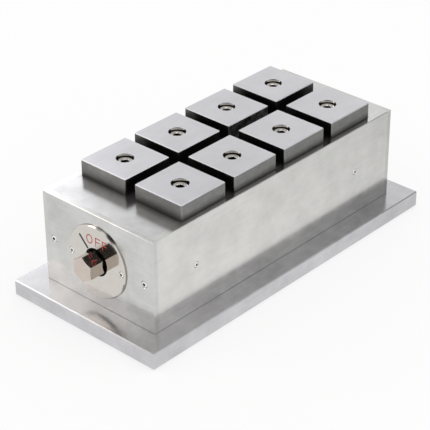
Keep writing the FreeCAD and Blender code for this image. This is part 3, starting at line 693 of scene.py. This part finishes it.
# A painted stroke with round ends.  Along it the half width is the full one, and near each end
# that of a circle, the root of the half width squared less the distance to its centre squared.
def strokeGrid(start, end, width, height):
    start, end = np.array(start, float), np.array(end, float)
    reach = np.linalg.norm(end - start)
    ahead = (end - start) / reach
    aside = np.array([-ahead[1], ahead[0]])
    half = width / 2
    bend = np.linspace(0, math.pi / 2, endPoints)
    places = np.concatenate([-half * np.cos(bend), reach + half * np.sin(bend)])
    halves = np.concatenate([half * np.sin(bend), half * np.cos(bend)])
    across, rise = np.array(ridge["across"]), np.array(ridge["rise"]) * height
    sideways = halves[:, None, None] * across[None, :, None] * aside
    flat = start + places[:, None, None] * ahead + sideways
    return np.dstack([flat, np.broadcast_to(rise, flat.shape[:2])]), False, True


# A painted ring, the outline of a round letter: the same ridge carried round an upright oval.
def ringGrid(centre, wide, tall, width, height):
    turn = np.linspace(0, 2 * math.pi, roundSides, endpoint=False)
    path = np.stack([np.cos(turn) * wide / 2, np.sin(turn) * tall / 2], 1)
    slope = np.stack([-np.sin(turn) * wide / 2, np.cos(turn) * tall / 2], 1)
    slope /= np.linalg.norm(slope, axis=1)[:, None]
    aside = np.stack([-slope[:, 1], slope[:, 0]], 1)
    across, rise = np.array(ridge["across"]) * width / 2, np.array(ridge["rise"]) * height
    flat = np.array(centre, float) + path[:, None, :] + across[None, :, None] * aside[:, None, :]
    return np.dstack([flat, np.broadcast_to(rise, flat.shape[:2])]), True, True


# Turns a flat grid from the dial's own view, right and up on its face and out of it, into the
# model's frame.
def onDial(grid, centre, front):
    flat, rowsClosed, columnsClosed = grid
    moved = np.dstack([front - flat[..., 2], centre.y - flat[..., 0], centre.z + flat[..., 1]])
    return moved, rowsClosed, columnsClosed


# Letters of the dial, each as strokes on a unit square that is then made wide and tall.
letterStrokes = {
    "F": [((0, 0), (0, 1)), ((0, 1), (1, 1)), ((0, 0.54), (0.8, 0.54))],
    "N": [((0, 0), (0, 1)), ((0, 1), (1, 0)), ((1, 0), (1, 1))],
}


# Where strokes cross, each is painted a little thinner than the one before it.
def letterGrids(letter, middle, look):
    wide, tall = look["letterWidth"], look["letterHeight"]
    if letter == "O":
        return [ringGrid(middle, wide * look["ovalShare"], tall, look["stroke"], look["paint"])]
    grids = []
    for number, (start, end) in enumerate(letterStrokes[letter]):
        ends = [(middle[0] + (x - 0.5) * wide, middle[1] + (y - 0.5) * tall) for x, y in (start, end)]
        paint = look["paint"] * (1 - look["paintStep"] * number)
        grids.append(strokeGrid(*ends, look["stroke"], paint))
    return grids


# Marks of the dial: a red word for each position, and a black line for the off one.  Letters are
# set by their middles, right of the dial's centre and above it, and the line by its angle from
# the dial's right, all seen from in front.
dialMarks = {
    "letterWidth": 0.0052, "letterHeight": 0.0074, "ovalShare": 1.15,
    "stroke": 0.00095, "paint": 0.00005, "paintStep": 0.1,
    "offLetters": [("O", -0.0065, 0.0188), ("F", 0.0030, 0.0184), ("F", 0.0105, 0.0180)],
    "onLetters": [("O", -0.0176, -0.0136), ("N", -0.0112, -0.0136)],
    "lineWidth": 0.0021, "lineFrom": 0.0135, "lineTo": 0.0253, "lineAngle": 133.0,
}


def makeDialMarks(look):
    low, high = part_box("dial_plate")
    centre, front = (low + high) / 2, low.x
    red, black = enamel("redEnamel", redLook), enamel("blackEnamel", blackLook)
    pieces = []
    for name, letters in (("dial_word_off", look["offLetters"]), ("dial_word_on", look["onLetters"])):
        grids = [onDial(grid, centre, front) for letter, right, up in letters
                 for grid in letterGrids(letter, (right, up), look)]
        pieces.append(meshOf(name, grids, red))
    angle = math.radians(look["lineAngle"])
    ahead = np.array([math.cos(angle), math.sin(angle)])
    ends = ahead * look["lineFrom"], ahead * look["lineTo"]
    line = strokeGrid(*ends, look["lineWidth"], look["paint"])
    pieces.append(meshOf("dial_line", [onDial(line, centre, front)], black))
    for piece in pieces:
        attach(piece, "block")


makeDialMarks(dialMarks)
print("dial marks made")

# The studio: a white floor that goes on into a white room, and soft lamps.  In reflections the
# floor is dimmer towards the rear end of the block, along X.
studio = {
    "floorHalf": 4.0, "floorDrop": 0.0003, "floorGlow": 0.72,
    "floorDark": (0.90, 0.90, 0.90), "floorLight": (0.91, 0.91, 0.91), "floorGrain": 0.025,
    "dimFrom": -0.08, "dimTo": 0.45, "dimShare": 0.26,
    "roomSoft": 0.86,
}

# Dark cloths hung in the room, which only reflections show: the way to each, the angles in
# degrees of its full dark and of its soft rim, and how much of the room's light it takes.
cloths = {
    "right": {"azimuth": -20.0, "elevation": 28.0, "inner": 8.0, "outer": 26.0, "share": 0.7},
    "back": {"azimuth": 45.0, "elevation": 45.0, "inner": 5.0, "outer": 13.5, "share": 0.9},
    "backLeft": {"azimuth": 135.0, "elevation": 45.0, "inner": 5.0, "outer": 14.5, "share": 0.5},
    "left": {"azimuth": 193.5, "elevation": 49.4, "inner": 10.0, "outer": 20.0, "share": 0.97},
}


def wayTo(azimuth, elevation):
    across, up = math.radians(azimuth), math.radians(elevation)
    return Vector((math.cos(across) * math.cos(up), math.sin(across) * math.cos(up), math.sin(up)))


# Shares of the light's way that come straight to the camera, by a reflection and through glass.
def lightPaths(shade):
    ways = "Is Camera Ray", "Is Glossy Ray", "Is Transmission Ray"
    paths = shade.node("ShaderNodeLightPath").socket.node.outputs
    return [Value(shade, paths[way]) for way in ways]


# The floor takes a soft shadow, and keeps most of its white to the camera and in reflections.
def makeFloor(look):
    shade = newShade("whiteFloor")
    grain = shade.noise(shade.place((1.0 / look["floorGrain"],) * 3), detail=2.0)
    colour = shade.blend(grain, look["floorDark"], look["floorLight"])
    camera, glossy, through = lightPaths(shade)
    along = shade.parts(shade.place())[0]
    level = 1.0 - along.rise(look["dimFrom"], look["dimTo"]) * glossy * look["dimShare"]
    matt = shade.node("ShaderNodeBsdfDiffuse", {}, {"Color": colour})
    glow = shade.node("ShaderNodeEmission", {}, {"Color": (1, 1, 1, 1), "Strength": level})
    share = camera * look["floorGlow"] + glossy + through
    mixed = shade.node("ShaderNodeMixShader", {}, {0: share, 1: matt, 2: glow})
    shade.node("ShaderNodeOutputMaterial", {}, {"Surface": mixed})
    half, down = look["floorHalf"], cadBox[0].z - look["floorDrop"]
    mesh = bpy.data.meshes.new("floor")
    outline = [(x * half, y * half, down) for x, y in ((-1, -1), (1, -1), (1, 1), (-1, 1))]
    mesh.from_pydata(outline, [], [(0, 1, 2, 3)])
    mesh.materials.append(shade.owner)
    floor = bpy.data.objects.new("floor", mesh)
    bpy.context.scene.collection.objects.link(floor)


# The room is white to the camera and in reflections, but for the cloths, and a softer white on
# matt surfaces.
def makeRoom(look):
    world = bpy.data.worlds.new("room")
    bpy.context.scene.world = world
    shade = Shade(world)
    camera, glossy, through = lightPaths(shade)
    direction = shade.node("ShaderNodeTexCoord", out="Generated")
    reflected = 1.0
    for cloth in cloths.values():
        near = shade.along(direction, wayTo(cloth["azimuth"], cloth["elevation"]))
        rim, full = (math.cos(math.radians(cloth[word])) for word in ("outer", "inner"))
        reflected = reflected * (1.0 - near.rise(rim, full) * cloth["share"])
    matt = 1.0 - camera - glossy - through
    level = camera + through + reflected * glossy + matt * look["roomSoft"]
    back = shade.node("ShaderNodeBackground", {}, {"Color": (1, 1, 1, 1), "Strength": level})
    shade.node("ShaderNodeOutputWorld", {}, {"Surface": back})


# Lamps are squares that face the block: the way to each in degrees, its distance, side, power and
# colour.
lamps = {
    "keyLamp": {
        "azimuth": -60.0, "elevation": 66.0, "distance": 2.2, "side": 1.9, "power": 9.0,
        "colour": (1.0, 0.99, 0.98),
    },
    "topLamp": {
        "azimuth": 160.0, "elevation": 80.0, "distance": 1.7, "side": 1.1, "power": 1.2,
        "colour": (1.0, 1.0, 1.0),
    },
    "warmLamp": {
        "azimuth": 127.0, "elevation": 28.0, "distance": 1.6, "side": 0.48, "power": 1.45,
        "colour": (1.0, 0.94, 0.88),
    },
    "farLamp": {
        "azimuth": 60.0, "elevation": 27.0, "distance": 1.7, "side": 0.4, "power": 0.68,
        "colour": (0.98, 0.98, 1.0),
    },
}


def makeLamps():
    aim = (cadBox[0] + cadBox[1]) / 2
    for name, look in lamps.items():
        lamp = bpy.data.lights.new(name, "AREA")
        lamp.size, lamp.energy, lamp.color = look["side"], look["power"], look["colour"]
        holder = bpy.data.objects.new(name, lamp)
        way = wayTo(look["azimuth"], look["elevation"])
        holder.location = aim + way * look["distance"]
        holder.rotation_euler = way.to_track_quat("Z", "Y").to_euler()
        bpy.context.scene.collection.objects.link(holder)


makeFloor(studio)
makeRoom(studio)
makeLamps()
print("studio lit")

# The camera looks down at the near long side and the drive end.  Angles in degrees.
view = {
    "azimuth": -47.43, "elevation": 30.72, "roll": -0.36, "distance": 1.3775,
    "aim": (-0.01168, 0.00003, 0.0378), "lens": 137.56, "film": 36.0, "reach": 50.0,
}


def makeCamera(look):
    roll = math.radians(look["roll"])
    back = wayTo(look["azimuth"] - 90.0, look["elevation"])
    right = (-back).cross(Vector((0, 0, 1))).normalized()
    up = right.cross(-back)
    lean = Matrix.Rotation(roll, 3, back)
    right, up = lean @ right, lean @ up
    lens = bpy.data.cameras.new("camera")
    lens.lens, lens.sensor_width, lens.clip_end = look["lens"], look["film"], look["reach"]
    camera = bpy.data.objects.new("camera", lens)
    turned = Matrix((right, up, back)).transposed().to_4x4()
    camera.matrix_world = Matrix.Translation(Vector(look["aim"]) + back * look["distance"]) @ turned
    bpy.context.scene.collection.objects.link(camera)
    bpy.context.scene.camera = camera


makeCamera(view)
bpy.context.scene.view_settings.view_transform = "Standard"
print("camera set")
